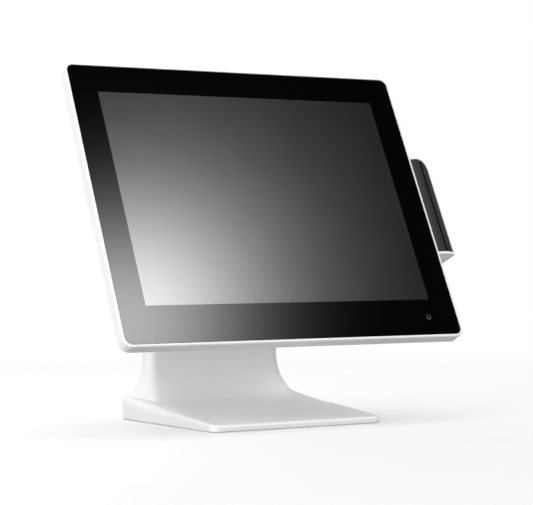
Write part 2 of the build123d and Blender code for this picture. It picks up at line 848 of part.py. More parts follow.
with BuildPart() as reader_inner_cheek:
    with BuildSketch(head_level(reader_low - 1.0)):
        with BuildLine():
            Polyline(
                (reader_x0, 0.0),
                (slot_x0 - lip, 0.0),
                (slot_x0 - lip, lip_depth - 1.4),
                (slot_x0, lip_depth),
                (slot_x0, slot_floor),
                (slot_x1 - 0.1, slot_floor),
                (slot_x1 - 0.1, reader_back),
                (reader_x0, reader_back),
                close=True,
            )
        make_face()
    extrude(amount=reader_top - reader_low + 1.0)
    add(cheek_form, mode=Mode.INTERSECT)
    # pocket for the sprung magnetic head, and a space for its board from behind
    with BuildSketch(head_side(reader_x0 + 3.6)):
        with Locations((head_depth, head_y)):
            Rectangle(head_t + 1.2, head_t + 2.2)
    extrude(amount=slot_x1 - reader_x0, mode=Mode.SUBTRACT)
    with BuildSketch(behind(reader_back)):
        with Locations((board_mid_x, reader_board_up)):
            Rectangle(*board_space)
    extrude(amount=reader_back - reader_board_front + 1.7, mode=Mode.SUBTRACT)
reader_inner_cheek.part.label = "reader_inner_cheek"
export_step(reader_inner_cheek.part, "parts/reader_inner_cheek.step")

with BuildPart() as reader_outer_cheek:
    with BuildSketch(head_level(reader_low - 1.0)):
        with BuildLine():
            Polyline(
                (slot_x1, reader_back),
                (slot_x1, lip_depth),
                (slot_x1 + lip, lip_depth - 1.4),
                (slot_x1 + lip, 0.0),
                (reader_x1, 0.0),
                (reader_x1, reader_back),
                close=True,
            )
        make_face()
    extrude(amount=reader_top - reader_low + 1.0)
    add(cheek_form, mode=Mode.INTERSECT)
reader_outer_cheek.part.label = "reader_outer_cheek"
export_step(reader_outer_cheek.part, "parts/reader_outer_cheek.step")

cap_top = reader_low - 0.1
with BuildPart() as reader_end_cap:
    cap_view = reader_front_view(0, cap_top - reader_cap_t, reader_top)
    add(cap_view & reader_section(0) & behind_crown(-0.3))
    split(bisect_by=head_level(cap_top), keep=Keep.BOTTOM)
    cap_low = reader_end_cap.faces().sort_by(Axis(screen.origin, head_level(0).z_dir))[0]
    fillet(cap_low.edges(), 1.0)
reader_end_cap.part.label = "reader_end_cap"
export_step(reader_end_cap.part, "parts/reader_end_cap.step")

with BuildPart() as reader_head:
    with BuildSketch(head_side(head_start)):
        with Locations((head_depth, head_y)):
            RectangleRounded(head_t, head_t + 1.0, 1.0)
    extrude(amount=slot_x0 + 0.5 - head_start)
    chamfer(reader_head.faces().sort_by(Axis.X)[-1].edges(), 0.6)
reader_head.part.label = "reader_head"
export_step(reader_head.part, "parts/reader_head.step")

spring_root = 185.45  # outer faces of the leaf spring, across the head
spring_tip = head_start - 0.05
spring_t = 0.6
with BuildPart() as reader_spring:
    with BuildSketch(head_level(head_y - 3.0)):
        with BuildLine():
            Polyline(
                (spring_root, head_depth - 3.0),
                (spring_tip, head_depth - spring_t),
                (spring_tip, head_depth + spring_t),
                (spring_root, head_depth + 3.0),
                (spring_root, head_depth + 3.0 - spring_t),
                (spring_tip - spring_t, head_depth),
                (spring_root, head_depth - 3.0 + spring_t),
                close=True,
            )
        make_face()
    extrude(amount=6.0)
reader_spring.part.label = "reader_spring"
export_step(reader_spring.part, "parts/reader_spring.step")

reader_board_t = 1.2
with BuildPart() as reader_board:
    with BuildSketch(behind(reader_board_front + reader_board_t)):
        with Locations((board_mid_x, reader_board_up)):
            Rectangle(8.4, 64.0)
    extrude(amount=reader_board_t)
    with BuildSketch(behind(reader_board_front + 2 * reader_board_t)):
        with Locations((board_mid_x, reader_board_up - 16.0), (board_mid_x, reader_board_up + 14.0)):
            Rectangle(6.0, 8.0)
    extrude(amount=reader_board_t)
reader_board.part.label = "reader_board"
export_step(reader_board.part, "parts/reader_board.step")

# ---------------------------------------------------------------- hinge
gusset_reach = 12.0  # the ears narrow to the eye's width this far before the axis
gusset_half = 16.0  # half the ears' width at the plate
head_plate_w = 120.0
head_plate_h = 84.0
with BuildPart() as hinge_head_plate:
    with BuildSketch(behind(back_depth + head_plate_t)):
        with Locations((0, hinge_up)):
            RectangleRounded(head_plate_w, head_plate_h, 5.0)
        with Locations(*hinge_screws):
            Circle(2.2, mode=Mode.SUBTRACT)
    extrude(amount=head_plate_t)
    for ear_x in (head_ear_x, -head_ear_x - head_ear_t):
        with BuildSketch(head_side(ear_x)):
            with BuildLine():
                Polyline(
                    (back_depth + 1.0, hinge_up - gusset_half),
                    (back_depth + head_plate_t, hinge_up - gusset_half),
                    (hinge_depth - gusset_reach, hinge_up - eye_r),
                    (hinge_depth, hinge_up - eye_r),
                    (hinge_depth, hinge_up + eye_r),
                    (hinge_depth - gusset_reach, hinge_up + eye_r),
                    (back_depth + head_plate_t, hinge_up + gusset_half),
                    (back_depth + 1.0, hinge_up + gusset_half),
                    close=True,
                )
            make_face()
            with Locations((hinge_depth, hinge_up)):
                Circle(eye_r)
                Circle(pin_r + pin_clear, mode=Mode.SUBTRACT)
        extrude(amount=head_ear_t)
hinge_head_plate.part.label = "hinge_head_plate"
export_step(hinge_head_plate.part, "parts/hinge_head_plate.step")

web_start = 20.0
web_end = 58.0
web_front = frame_t / 2
web_t = 3.0
bracket_holes = [(x, d) for x in (-20.0, 20.0) for d in (30.0, 48.0)]


def arm_back(offset):
    """Plane facing back from the arm: its local x is X and its local y runs down the arm."""
    back = Vector(0, math.cos(bend), math.sin(bend))
    return Plane(origin=pivot + back * offset, x_dir=(1, 0, 0), z_dir=back)


with BuildPart() as hinge_bracket:
    with BuildSketch(arm_back(web_front)):
        with Locations((0, (web_start + web_end) / 2)):
            Rectangle(2 * (stand_ear_x + stand_ear_t), web_end - web_start)
        with Locations(*bracket_holes):
            Circle(2.1, mode=Mode.SUBTRACT)
    extrude(amount=web_t)
    for ear_x in (stand_ear_x, -stand_ear_x - stand_ear_t):
        with BuildSketch(arm_side(ear_x)):
            with BuildLine():
                Polyline(
                    (0, -eye_r),
                    (web_end, -5.0),
                    (web_end, web_front + web_t),
                    (web_start, web_front + web_t),
                    (0, eye_r),
                    close=True,
                )
            make_face()
            Circle(eye_r)
            Circle(pin_r + pin_clear, mode=Mode.SUBTRACT)
        extrude(amount=stand_ear_t)
hinge_bracket.part.label = "hinge_bracket"
export_step(hinge_bracket.part, "parts/hinge_bracket.step")

pin_in = 27.0  # inner end of each pin's head
pin_head_t = 3.6
pin_out = 48.0
nut_in = 42.3
nut_t = 4.5


def on_axis(x):
    """Plane square to the hinge axis at x."""
    return Plane(origin=(x, pivot.Y, pivot.Z), x_dir=(0, 1, 0), z_dir=(1, 0, 0))


def both_sides(inner, length, outer_r, hole_r, polygon=False):
    """A ring or disc round the hinge axis on each side of the head."""
    with BuildPart() as pair:
        for start in (inner, -inner - length):
            with BuildSketch(on_axis(start)):
                if polygon:
                    RegularPolygon(outer_r, 6)
                else:
                    Circle(outer_r)
                if hole_r:
                    Circle(hole_r, mode=Mode.SUBTRACT)
            extrude(amount=length)
    return pair.part


pin_heads = both_sides(pin_in, pin_head_t, 6.5, 0)
pin_shafts = both_sides(pin_in + pin_head_t - 0.5, pin_out - pin_in - pin_head_t + 0.5, pin_r, 0)
with BuildPart() as hinge_pins:
    add(pin_heads)
    add(pin_shafts)
hinge_pins.part.label = "hinge_pins"
export_step(hinge_pins.part, "parts/hinge_pins.step")

washer_r = 8.0
washer_hole_r = pin_r + 0.1
inner_washers = both_sides(35.0, 0.9, washer_r, washer_hole_r)
outer_washers = both_sides(40.2, 1.9, washer_r, washer_hole_r)
with BuildPart() as hinge_washers:
    add(inner_washers)
    add(outer_washers)
hinge_washers.part.label = "hinge_washers"
export_step(hinge_washers.part, "parts/hinge_washers.step")

hinge_nuts = both_sides(nut_in, nut_t, 7.0, washer_hole_r, polygon=True)
hinge_nuts.label = "hinge_nuts"
export_step(hinge_nuts, "parts/hinge_nuts.step")

# barrel cover round the hinge: it stays with the stand and is open towards the head
window_mid = 180.0 - lean_deg - 5.0  # direction of the window's middle, in degrees from +Y
window_half = 82.0
window_far = 30.0
window_corners = [
    (
        window_far * math.cos(math.radians(window_mid + turn)),
        window_far * math.sin(math.radians(window_mid + turn)),
    )
    for turn in (-window_half, -window_half / 2, 0.0, window_half / 2, window_half)
]
with BuildPart() as hinge_cover:
    with BuildSketch(on_axis(-barrel_half_w)):
        Circle(barrel_r)
    extrude(amount=2 * barrel_half_w)
    with BuildSketch(on_axis(-barrel_half_w + 2.0)):
        Circle(barrel_r - barrel_wall)
    extrude(amount=2 * barrel_half_w - 4.0, mode=Mode.SUBTRACT)
    with BuildSketch(on_axis(-barrel_half_w)):
        with BuildLine():
            Polyline((0, 0), *window_corners, close=True)
        make_face()
    extrude(amount=2 * barrel_half_w, mode=Mode.SUBTRACT)
    with BuildSketch(arm_side(-40.0)):
        with Locations((14.0, 0)):
            Rectangle(20.0, 21.0)
    extrude(amount=80.0, mode=Mode.SUBTRACT)
hinge_cover.part.label = "hinge_cover"
export_step(hinge_cover.part, "parts/hinge_cover.step")

# ---------------------------------------------------------------- stand
def neck_section(z):
    """Front and rear half widths, front and back of the upright part of the neck at height z."""
    share = min(max((z - flare_low_z) / (flare_high_z - flare_low_z), 0.0), 1.0)
    flare = ((1 + math.cos(math.pi * share)) / 2) ** 1.3
    front_top = neck_y - neck_half_t
    drop = min(max(neck_bend_z - 2.0 - z, 0.0), sweep_r)
    front = front_top - sweep_r + math.sqrt(sweep_r**2 - drop**2)
    back = neck_y + neck_half_t + 2.5 * flare
    return neck_half_w + front_flare * flare, neck_half_w + flare_width * flare, front, back


low_levels = (18.6, 19.4, 21.0, 23.5, 27.0, 31.5, 37.0, 43.0, 51.0, 62.0)
root_z = 10.0  # the neck's foot runs down into the base to this height
bend_steps = 5


def neck_outline(plane, half_front, half_rear, front, back, inset):
    """One rounded section of the neck, with its wall taken off where there is an inset."""
    with BuildSketch(plane) as section:
        with BuildLine():
            Polyline(
                (-half_front + inset, front + inset),
                (half_front - inset, front + inset),
                (half_rear - inset, back - inset),
                (-half_rear + inset, back - inset),
                close=True,
            )
        make_face()
        fillet(section.vertices(), neck_corner_r - inset)
    return section.sketch


def neck_form(inset):
    """The neck's outer form, or with an inset the space inside its wall."""
    sections = []
    for z in (root_z,) + low_levels:
        shape = neck_section(max(z, low_levels[0]))
        sections.append(neck_outline(Plane.XY.offset(z), *shape, inset))
    for step in range(1, bend_steps + 1):
        turn = bend * step / bend_steps
        half_w = neck_half_w + (neck_top_half_w - neck_half_w) * step / (bend_steps + 1)
        y = bend_centre_y + neck_bend_r * math.cos(turn)
        z = neck_bend_z + neck_bend_r * math.sin(turn)
        plane = Plane(origin=(0, y, z), x_dir=(1, 0, 0), z_dir=(0, -math.sin(turn), math.cos(turn)))
        sections.append(neck_outline(plane, half_w, half_w, -neck_half_t, neck_half_t, inset))
    # the neck ends inside the barrel's space, which the stand's body leaves open
    top = Plane(origin=pivot + arm_dir * 4.0, x_dir=(1, 0, 0), z_dir=-arm_dir)
    sections.append(neck_outline(top, neck_top_half_w, neck_top_half_w, -neck_half_t, neck_half_t, inset))
    return loft(sections, ruled=True)


def base_form(inset):
    """The wedge base's outer form, or with an inset the space inside its wall."""
    front_y = -base_depth / 2 + inset
    rear_y = base_depth / 2 - inset
    low = base_gap - (1.0 if inset else 0.0)
    with BuildPart() as form:
        with BuildSketch(Plane.XY.offset(low)) as plan:
            with BuildLine():
                Polyline(
                    (-base_front_w / 2 + inset, front_y),
                    (base_front_w / 2 - inset, front_y),
                    (base_rear_w / 2 - inset, rear_y),
                    (-base_rear_w / 2 + inset, rear_y),
                    close=True,
                )
            make_face()
            fillet(plan.vertices().group_by(Axis.Y)[0], front_corner_r - inset)
            fillet(plan.vertices().group_by(Axis.Y)[-1], rear_corner_r - inset)
        extrude(amount=2 * base_mid_top)
        slope_dir = (0, -base_slope, 1)
        split(bisect_by=Plane(origin=(0, 0, base_mid_top - inset), z_dir=slope_dir), keep=Keep.BOTTOM)
        if not inset:
            fillet(form.faces().sort_by(Axis.Z)[-1].edges(), top_edge_r)
    return form.part


panel_half_w = 46.0
panel_low_z = 30.0
panel_share = 0.62  # the cover ends after this share of the neck's bend
far_y = 130.0  # well behind the neck


def cover_cutter(clear):
    """Everything behind the neck's middle surface, over the height of the back cover."""
    half_w = panel_half_w + clear
    low_z = panel_low_z - clear
    turn = bend * panel_share
    top_y = bend_centre_y + neck_bend_r * math.cos(turn)
    top_z = neck_bend_z + neck_bend_r * math.sin(turn) + clear
    with BuildPart() as form:
        with BuildSketch(Plane.YZ.offset(-half_w)):
            with BuildLine():
                Line((far_y, low_z), (neck_y, low_z))
                Line((neck_y, low_z), (neck_y, neck_bend_z))
                ThreePointArc(
                    (neck_y, neck_bend_z),
                    (
                        bend_centre_y + neck_bend_r * math.cos(turn / 2),
                        neck_bend_z + neck_bend_r * math.sin(turn / 2),
                    ),
                    (top_y, top_z),
                )
                Line((top_y, top_z), (far_y, top_z))
                Line((far_y, top_z), (far_y, low_z))
            make_face()
        extrude(amount=2 * half_w)
    return form.part


stand_shell = (base_form(0) + neck_form(0)) - base_form(base_wall) - neck_form(neck_wall)
boss_points = [(side * x, y) for side in (-1, 1) for x, y in ((82.0, -84.0), (85.0, 0.0), (86.0, 84.0))]
boss_r = 4.0
boss_hole_r = 1.4
notch_w = 40.0
notch_h = 9.0
notch_mid_z = 8.5

with BuildPart() as stand_body:
    add(stand_shell)
    for x, y in boss_points:
        with BuildSketch(Plane.XY.offset(ballast_bottom)):
            with Locations((x, y)):
                Circle(boss_r)
        extrude(amount=base_top(y) - 1.8 - ballast_bottom)
        with BuildSketch(Plane.XY.offset(ballast_bottom)):
            with Locations((x, y)):
                Circle(boss_hole_r)
        extrude(amount=3.2, mode=Mode.SUBTRACT)
    add(cover_cutter(0.4), mode=Mode.SUBTRACT)
    with BuildSketch(on_axis(-neck_half_w)):
        Circle(barrel_r + 0.2)
    extrude(amount=2 * neck_half_w, mode=Mode.SUBTRACT)
    # cable notch at the back of the base
    with BuildSketch(Plane.XZ.offset(-base_depth / 2 + 8.0)):
        with Locations((0, notch_mid_z)):
            RectangleRounded(notch_w, notch_h, 2.0)
    extrude(amount=-12.0, mode=Mode.SUBTRACT)
stand_body.part.label = "stand_body"
export_step(stand_body.part, "parts/stand_body.step")

with BuildPart() as neck_back_cover:
    add(stand_shell)
    add(cover_cutter(0), mode=Mode.INTERSECT)
neck_back_cover.part.label = "neck_back_cover"
export_step(neck_back_cover.part, "parts/neck_back_cover.step")

foot_x = 70.0
foot_y = 78.0
foot_r = 9.0
recess = 1.2  # depth of the feet's and the screws' seats in the plate
bottom_inset = base_wall + 0.4
with BuildPart() as bottom_plate:
    with BuildSketch(Plane.XY.offset(plate_bottom_z)) as plan:
        with BuildLine():
            Polyline(
                (-base_front_w / 2 + bottom_inset, -base_depth / 2 + bottom_inset),
                (base_front_w / 2 - bottom_inset, -base_depth / 2 + bottom_inset),
                (base_rear_w / 2 - bottom_inset, base_depth / 2 - bottom_inset),
                (-base_rear_w / 2 + bottom_inset, base_depth / 2 - bottom_inset),
                close=True,
            )
        make_face()
        fillet(plan.vertices().group_by(Axis.Y)[0], front_corner_r - bottom_inset)
        fillet(plan.vertices().group_by(Axis.Y)[-1], rear_corner_r - bottom_inset)
    extrude(amount=bottom_t)
    with BuildSketch(Plane.XY.offset(plate_bottom_z)):
        with Locations(*four(foot_x, foot_y)):
            Circle(foot_r + 0.4)
        with Locations(*boss_points):
            Circle(3.4)
    extrude(amount=recess, mode=Mode.SUBTRACT)
    with BuildSketch(Plane.XY.offset(plate_bottom_z)):
        with Locations(*boss_points):
            Circle(1.7)
    extrude(amount=bottom_t, mode=Mode.SUBTRACT)
bottom_plate.part.label = "bottom_plate"
export_step(bottom_plate.part, "parts/bottom_plate.step")

with BuildPart() as rubber_feet:
    with BuildSketch(Plane.XY):
        with Locations(*four(foot_x, foot_y)):
            Circle(foot_r)
    extrude(amount=plate_bottom_z + recess)
    chamfer(rubber_feet.faces().group_by(Axis.Z)[0].edges(), 0.5)
rubber_feet.part.label = "rubber_feet"
export_step(rubber_feet.part, "parts/rubber_feet.step")

with BuildPart() as bottom_screws:
    with BuildSketch(Plane.XY.offset(plate_bottom_z)):
        with Locations(*boss_points):
            Circle(3.1)
    extrude(amount=recess)
    with BuildSketch(Plane.XY.offset(plate_bottom_z)):
        with Locations(*boss_points):
            Circle(1.25)
    extrude(amount=4.6)
    with BuildSketch(Plane.XY.offset(plate_bottom_z)):
        with Locations(*boss_points):
            RegularPolygon(1.2, 6)
    extrude(amount=0.8, mode=Mode.SUBTRACT)
bottom_screws.part.label = "bottom_screws"
export_step(bottom_screws.part, "parts/bottom_screws.step")

ballast_w = 152.0
ballast_d = 112.0
ballast_mid_y = 28.0
frame_foot_y = 44.0
frame_screw_points = [(x, y) for x in (-20.0, 20.0) for y in (52.0, 70.0)]
with BuildPart() as ballast_plate:
    with BuildSketch(Plane.XY.offset(ballast_bottom)):
        with Locations((0, ballast_mid_y)):
            RectangleRounded(ballast_w, ballast_d, 6.0)
        with Locations(*frame_screw_points):
            Circle(2.0, mode=Mode.SUBTRACT)
    extrude(amount=ballast_t)
ballast_plate.part.label = "ballast_plate"
export_step(ballast_plate.part, "parts/ballast_plate.step")

frame_end = 22.0
half_frame = frame_t / 2
inner_bend_r = neck_bend_r - half_frame
outer_bend_r = neck_bend_r + half_frame
inner_top = pivot + arm_dir * frame_end - Vector(0, math.cos(bend), math.sin(bend)) * half_frame
outer_top = pivot + arm_dir * frame_end + Vector(0, math.cos(bend), math.sin(bend)) * half_frame
with BuildPart() as stand_frame:
    with BuildSketch(Plane.YZ.offset(-frame_half_w)):
        with BuildLine():
            Line((neck_y + half_frame, ballast_top), (neck_y + half_frame, neck_bend_z))
            rear_arc = CenterArc((bend_centre_y, neck_bend_z), outer_bend_r, 0, bend_deg)
            Line(rear_arc @ 1, (outer_top.Y, outer_top.Z))
            Line((outer_top.Y, outer_top.Z), (inner_top.Y, inner_top.Z))
            front_arc = CenterArc((bend_centre_y, neck_bend_z), inner_bend_r, 0, bend_deg)
            Line((inner_top.Y, inner_top.Z), front_arc @ 1)
            Line((neck_y - half_frame, neck_bend_z), (neck_y - half_frame, ballast_top + frame_t))
            Line((neck_y - half_frame, ballast_top + frame_t), (frame_foot_y, ballast_top + frame_t))
            Line((frame_foot_y, ballast_top + frame_t), (frame_foot_y, ballast_top))
            Line((frame_foot_y, ballast_top), (neck_y + half_frame, ballast_top))
        make_face()
    extrude(amount=2 * frame_half_w)
    with BuildSketch(Plane.XY.offset(ballast_top)):
        with Locations(*frame_screw_points):
            Circle(2.2)
    extrude(amount=frame_t, mode=Mode.SUBTRACT)
    with BuildSketch(arm_back(web_front)):
        with Locations(*bracket_holes):
            Circle(2.1)
    extrude(amount=-frame_t, mode=Mode.SUBTRACT)
stand_frame.part.label = "stand_frame"
export_step(stand_frame.part, "parts/stand_frame.step")

frame_screw_r = 1.9
frame_screw_head_r = 3.4
frame_screw_head_t = 2.4
with BuildPart() as frame_screws:
    with BuildSketch(Plane.XY.offset(ballast_top + frame_t)):
        with Locations(*frame_screw_points):
            Circle(frame_screw_head_r)
    extrude(amount=frame_screw_head_t)
    with BuildSketch(Plane.XY.offset(ballast_bottom + 0.5)):
        with Locations(*frame_screw_points):
            Circle(frame_screw_r)
    extrude(amount=ballast_t - 0.5 + frame_t)
    with BuildSketch(arm_back(web_front + web_t)):
        with Locations(*bracket_holes):
            Circle(frame_screw_head_r)
    extrude(amount=frame_screw_head_t)
    with BuildSketch(arm_back(web_front + web_t)):
        with Locations(*bracket_holes):
            Circle(frame_screw_r)
    extrude(amount=-web_t - frame_t - 2.0)
frame_screws.part.label = "frame_screws"
export_step(frame_screws.part, "parts/frame_screws.step")
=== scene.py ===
import json
import math

import bmesh
import bpy
from mathutils import Matrix, Vector


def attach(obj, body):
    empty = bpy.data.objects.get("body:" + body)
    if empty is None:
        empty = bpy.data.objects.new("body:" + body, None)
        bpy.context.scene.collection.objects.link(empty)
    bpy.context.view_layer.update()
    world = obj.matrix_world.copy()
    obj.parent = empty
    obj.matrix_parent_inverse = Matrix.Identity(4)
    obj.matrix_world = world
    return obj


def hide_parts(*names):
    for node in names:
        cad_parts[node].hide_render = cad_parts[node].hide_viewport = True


# A countertop touch terminal: a tilting display head with a card reader on its right side,
# on a weighted wedge stand with a curved neck. Metres, in the CAD model's own frame.

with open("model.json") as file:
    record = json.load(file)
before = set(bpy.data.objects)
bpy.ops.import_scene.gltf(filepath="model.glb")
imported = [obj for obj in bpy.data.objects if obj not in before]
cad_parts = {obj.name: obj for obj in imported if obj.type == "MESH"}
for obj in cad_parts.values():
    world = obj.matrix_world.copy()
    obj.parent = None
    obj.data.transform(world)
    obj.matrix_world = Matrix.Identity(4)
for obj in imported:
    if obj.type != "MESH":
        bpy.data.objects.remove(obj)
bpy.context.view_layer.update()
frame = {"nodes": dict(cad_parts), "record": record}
nodes = frame["nodes"]

MM = 0.001

# ---------------------------------------------------------------- the head's own directions
lean = math.radians(27.2)
right = Vector((1, 0, 0))
up_screen = Vector((0, math.sin(lean), math.cos(lean)))
out_of_screen = Vector((0, -math.cos(lean), math.sin(lean)))
screen_centre = Vector((0, -38.0, 218.5)) * MM
active_half = Vector((152.05, 114.05)) * MM


def head_point(x, up, depth):
    """A point of the head at rest; millimetres across, up the screen and behind the glass."""
    return screen_centre + (right * x + up_screen * up - out_of_screen * depth) * MM


# ---------------------------------------------------------------- node graph helper
class Look:
    """A material with one Principled shader, and short calls for the nodes that feed it."""

    def __init__(self, name, **sockets):
        self.material = bpy.data.materials.new(name)
        self.material.use_nodes = True
        self.tree = self.material.node_tree
        self.tree.nodes.clear()
        output = self.tree.nodes.new("ShaderNodeOutputMaterial")
        self.shader = self.tree.nodes.new("ShaderNodeBsdfPrincipled")
        self.tree.links.new(self.shader.outputs[0], output.inputs["Surface"])
        self.place = self.node("ShaderNodeTexCoord").outputs["Object"]
        for socket, value in sockets.items():
            self.shader.inputs[socket.replace("_", " ")].default_value = value

    def node(self, kind, inputs=None, **settings):
        made = self.tree.nodes.new(kind)
        for key, value in settings.items():
            setattr(made, key, value)
        for key, value in (inputs or {}).items():
            self.feed(made.inputs[key], value)
        return made

    def feed(self, socket, value):
        if isinstance(value, bpy.types.NodeSocket):
            self.tree.links.new(value, socket)
        else:
            socket.default_value = value

    def set(self, socket, value):
        self.feed(self.shader.inputs[socket], value)

    def math(self, operation, a, b=0.0, clamp=False):
        made = self.node("ShaderNodeMath", {0: a, 1: b}, operation=operation, use_clamp=clamp)
        return made.outputs[0]

    def scaled(self, factors, place=None):
        """Object coordinates multiplied per axis, for streaks and stretched grain."""
        inputs = {"Vector": place or self.place, "Scale": factors}
        return self.node("ShaderNodeMapping", inputs).outputs[0]

    def along(self, direction, offset=0.0):
        """Distance of the shaded point along a direction, less an offset, in metres."""
        dot = self.node("ShaderNodeVectorMath", {0: self.place, 1: direction}, operation="DOT_PRODUCT")
        return self.math("SUBTRACT", dot.outputs["Value"], offset)

    def noise(self, size, detail=3.0, rough=0.55, place=None):
        """Noise between 0 and 1 whose features are about size metres across."""
        inputs = {"Vector": place or self.place, "Scale": 1.0 / size, "Detail": detail, "Roughness": rough}
        return self.node("ShaderNodeTexNoise", inputs).outputs[0]

    def remap(self, value, low, high, out_low=0.0, out_high=1.0):
        inputs = {"Value": value, "From Min": low, "From Max": high, "To Min": out_low, "To Max": out_high}
        return self.node("ShaderNodeMapRange", inputs).outputs[0]

    def mix(self, share, a, b):
        made = self.node("ShaderNodeMix", data_type="RGBA")
        self.feed(made.inputs[0], share)
        self.feed(made.inputs[6], a)
        self.feed(made.inputs[7], b)
        return made.outputs[2]

    def blend(self, share, a, b):
        made = self.node("ShaderNodeMix", data_type="FLOAT")
        self.feed(made.inputs[0], share)
        self.feed(made.inputs[2], a)
        self.feed(made.inputs[3], b)
        return made.outputs[0]

    def edges(self, radius):
        """About 1 on edges rounder than the given radius and 0 on flat stretches."""
        bevel = self.node("ShaderNodeBevel", {"Radius": radius}, samples=6).outputs[0]
        true = self.node("ShaderNodeNewGeometry").outputs["True Normal"]
        dot = self.node("ShaderNodeVectorMath", {0: bevel, 1: true}, operation="DOT_PRODUCT")
        return self.remap(dot.outputs["Value"], 0.995, 0.90)

    def bump(self, height, distance, normal=None):
        inputs = {"Height": height, "Distance": distance, "Strength": 1.0}
        if normal is not None:
            inputs["Normal"] = normal
        return self.node("ShaderNodeBump", inputs).outputs[0]


def grey(value, blue=0.0):
    return (value, value, value + blue, 1.0)


# ---------------------------------------------------------------- materials
def shell_white():
    """Satin white ABS: fine moulded grain, faint handling marks, and a patchy highlight painted lighter along
    the rounded edges.
    """
    look = Look("shell_white", IOR=1.46, Specular_IOR_Level=0.5)
    drift = look.noise(0.06, detail=2.0)
    base = look.mix(drift, (0.806, 0.810, 0.806, 1), (0.848, 0.850, 0.846, 1))
    handled = look.remap(look.noise(0.022, detail=5.0, rough=0.65), 0.58, 0.78)
    base = look.mix(look.math("MULTIPLY", handled, 0.35), base, (0.768, 0.770, 0.764, 1))
    # painted highlight: the rounded edges are made patchily whiter than the rest of the shell
    painted_edge_highlight = look.math("MULTIPLY", look.edges(0.0012), look.noise(0.004, detail=4.0))
    base = look.mix(look.math("MULTIPLY", painted_edge_highlight, 0.5), base, (0.90, 0.90, 0.895, 1))
    look.set("Base Color", base)
    stretched = look.scaled((1.0, 1.0, 0.3))
    scuffs = look.remap(look.noise(0.006, detail=6.0, rough=0.7, place=stretched), 0.62, 0.8)
    satin = look.remap(drift, 0.3, 0.7, 0.34, 0.42)
    look.set("Roughness", look.blend(look.math("MULTIPLY", scuffs, 0.5), satin, 0.55))
    grain = look.noise(0.00045, detail=2.0)
    waves = look.bump(look.noise(0.035, detail=1.0), 0.00012)
    look.set("Normal", look.bump(grain, 0.000012, waves))
    return look.material


def screen_glass():
    """Black printed glass with a matt display area that shows a soft, brighter sheen."""
    look = Look("screen_glass", Specular_IOR_Level=0.0, Coat_Weight=1.0, Coat_Roughness=0.03, Coat_IOR=1.5)
    across = look.math("ABSOLUTE", look.along(right))
    upward = look.math("ABSOLUTE", look.along(up_screen, screen_centre.dot(up_screen)))
    over_x = look.math("SUBTRACT", across, active_half.x)
    over_y = look.math("SUBTRACT", upward, active_half.y)
    outside = look.math("MAXIMUM", over_x, over_y)
    active = look.remap(outside, 0.00012, -0.00012)
    front = look.node("ShaderNodeNewGeometry").outputs["Normal"]
    facing = look.node("ShaderNodeVectorMath", {0: front, 1: out_of_screen}, operation="DOT_PRODUCT")
    active = look.math("MULTIPLY", active, look.remap(facing.outputs["Value"], 0.85, 0.95))
    smears = look.remap(look.noise(0.03, detail=5.0, rough=0.6), 0.35, 0.75)
    panel = look.mix(smears, grey(0.122, 0.002), grey(0.130, 0.002))
    look.set("Base Color", look.mix(active, grey(0.003), panel))
    look.set("Metallic", active)
    matt = look.remap(smears, 0.0, 1.0, 0.280, 0.298)
    look.set("Roughness", look.blend(active, 0.06, matt))
    return look.material


def reader_black():
    """Black moulded plastic with a fine spark texture and streaks along the card's way."""
    look = Look("reader_black", IOR=1.5)
    streaks = look.noise(0.0016, detail=4.0, place=look.scaled((1.0, 0.05, 0.05)))
    base = look.mix(streaks, (0.011, 0.011, 0.012, 1), (0.023, 0.023, 0.024, 1))
    rubbed = look.math("MULTIPLY", look.edges(0.0008), 0.6)
    look.set("Base Color", look.mix(rubbed, base, (0.065, 0.065, 0.066, 1)))
    look.set("Roughness", look.remap(streaks, 0.2, 0.8, 0.42, 0.60))
    look.set("Normal", look.bump(look.noise(0.0005, detail=2.0), 0.00002))
    return look.material


def moulded(name, dark, light, rough, grain=0.0006, depth=0.00002):
    """A plain moulded surface: two close tones, uneven gloss and a fine grain."""
    look = Look(name)
    tone = look.noise(0.012, detail=4.0)
    base = look.mix(tone, dark, light)
    look.set("Base Color", look.mix(look.math("MULTIPLY", look.edges(0.0006), 0.4), base, light))
    look.set("Roughness", look.remap(tone, 0.25, 0.75, rough - 0.07, rough + 0.07))
    look.set("Normal", look.bump(look.noise(grain, detail=2.0), depth))
    return look.material


def metal(name, colour, rough, stretch=(1.0, 14.0, 14.0), anisotropic=0.0):
    """Rolled or turned metal: streaks one way, blotched plating and bright edges."""
    look = Look(name, Metallic=1.0, Anisotropic=anisotropic)
    streaks = look.noise(0.0035, detail=5.0, place=look.scaled(stretch))
    blotch = look.noise(0.018, detail=4.0)
    darker = tuple(0.72 * c for c in colour[:3]) + (1.0,)
    base = look.mix(look.remap(blotch, 0.35, 0.75), colour, darker)
    brighter = tuple(min(1.0, 1.2 * c) for c in colour[:3]) + (1.0,)
    look.set("Base Color", look.mix(look.edges(0.0006), base, brighter))
    look.set("Roughness", look.remap(streaks, 0.2, 0.8, rough - 0.08, rough + 0.10))
    look.set("Normal", look.bump(streaks, 0.000015))
    return look.material


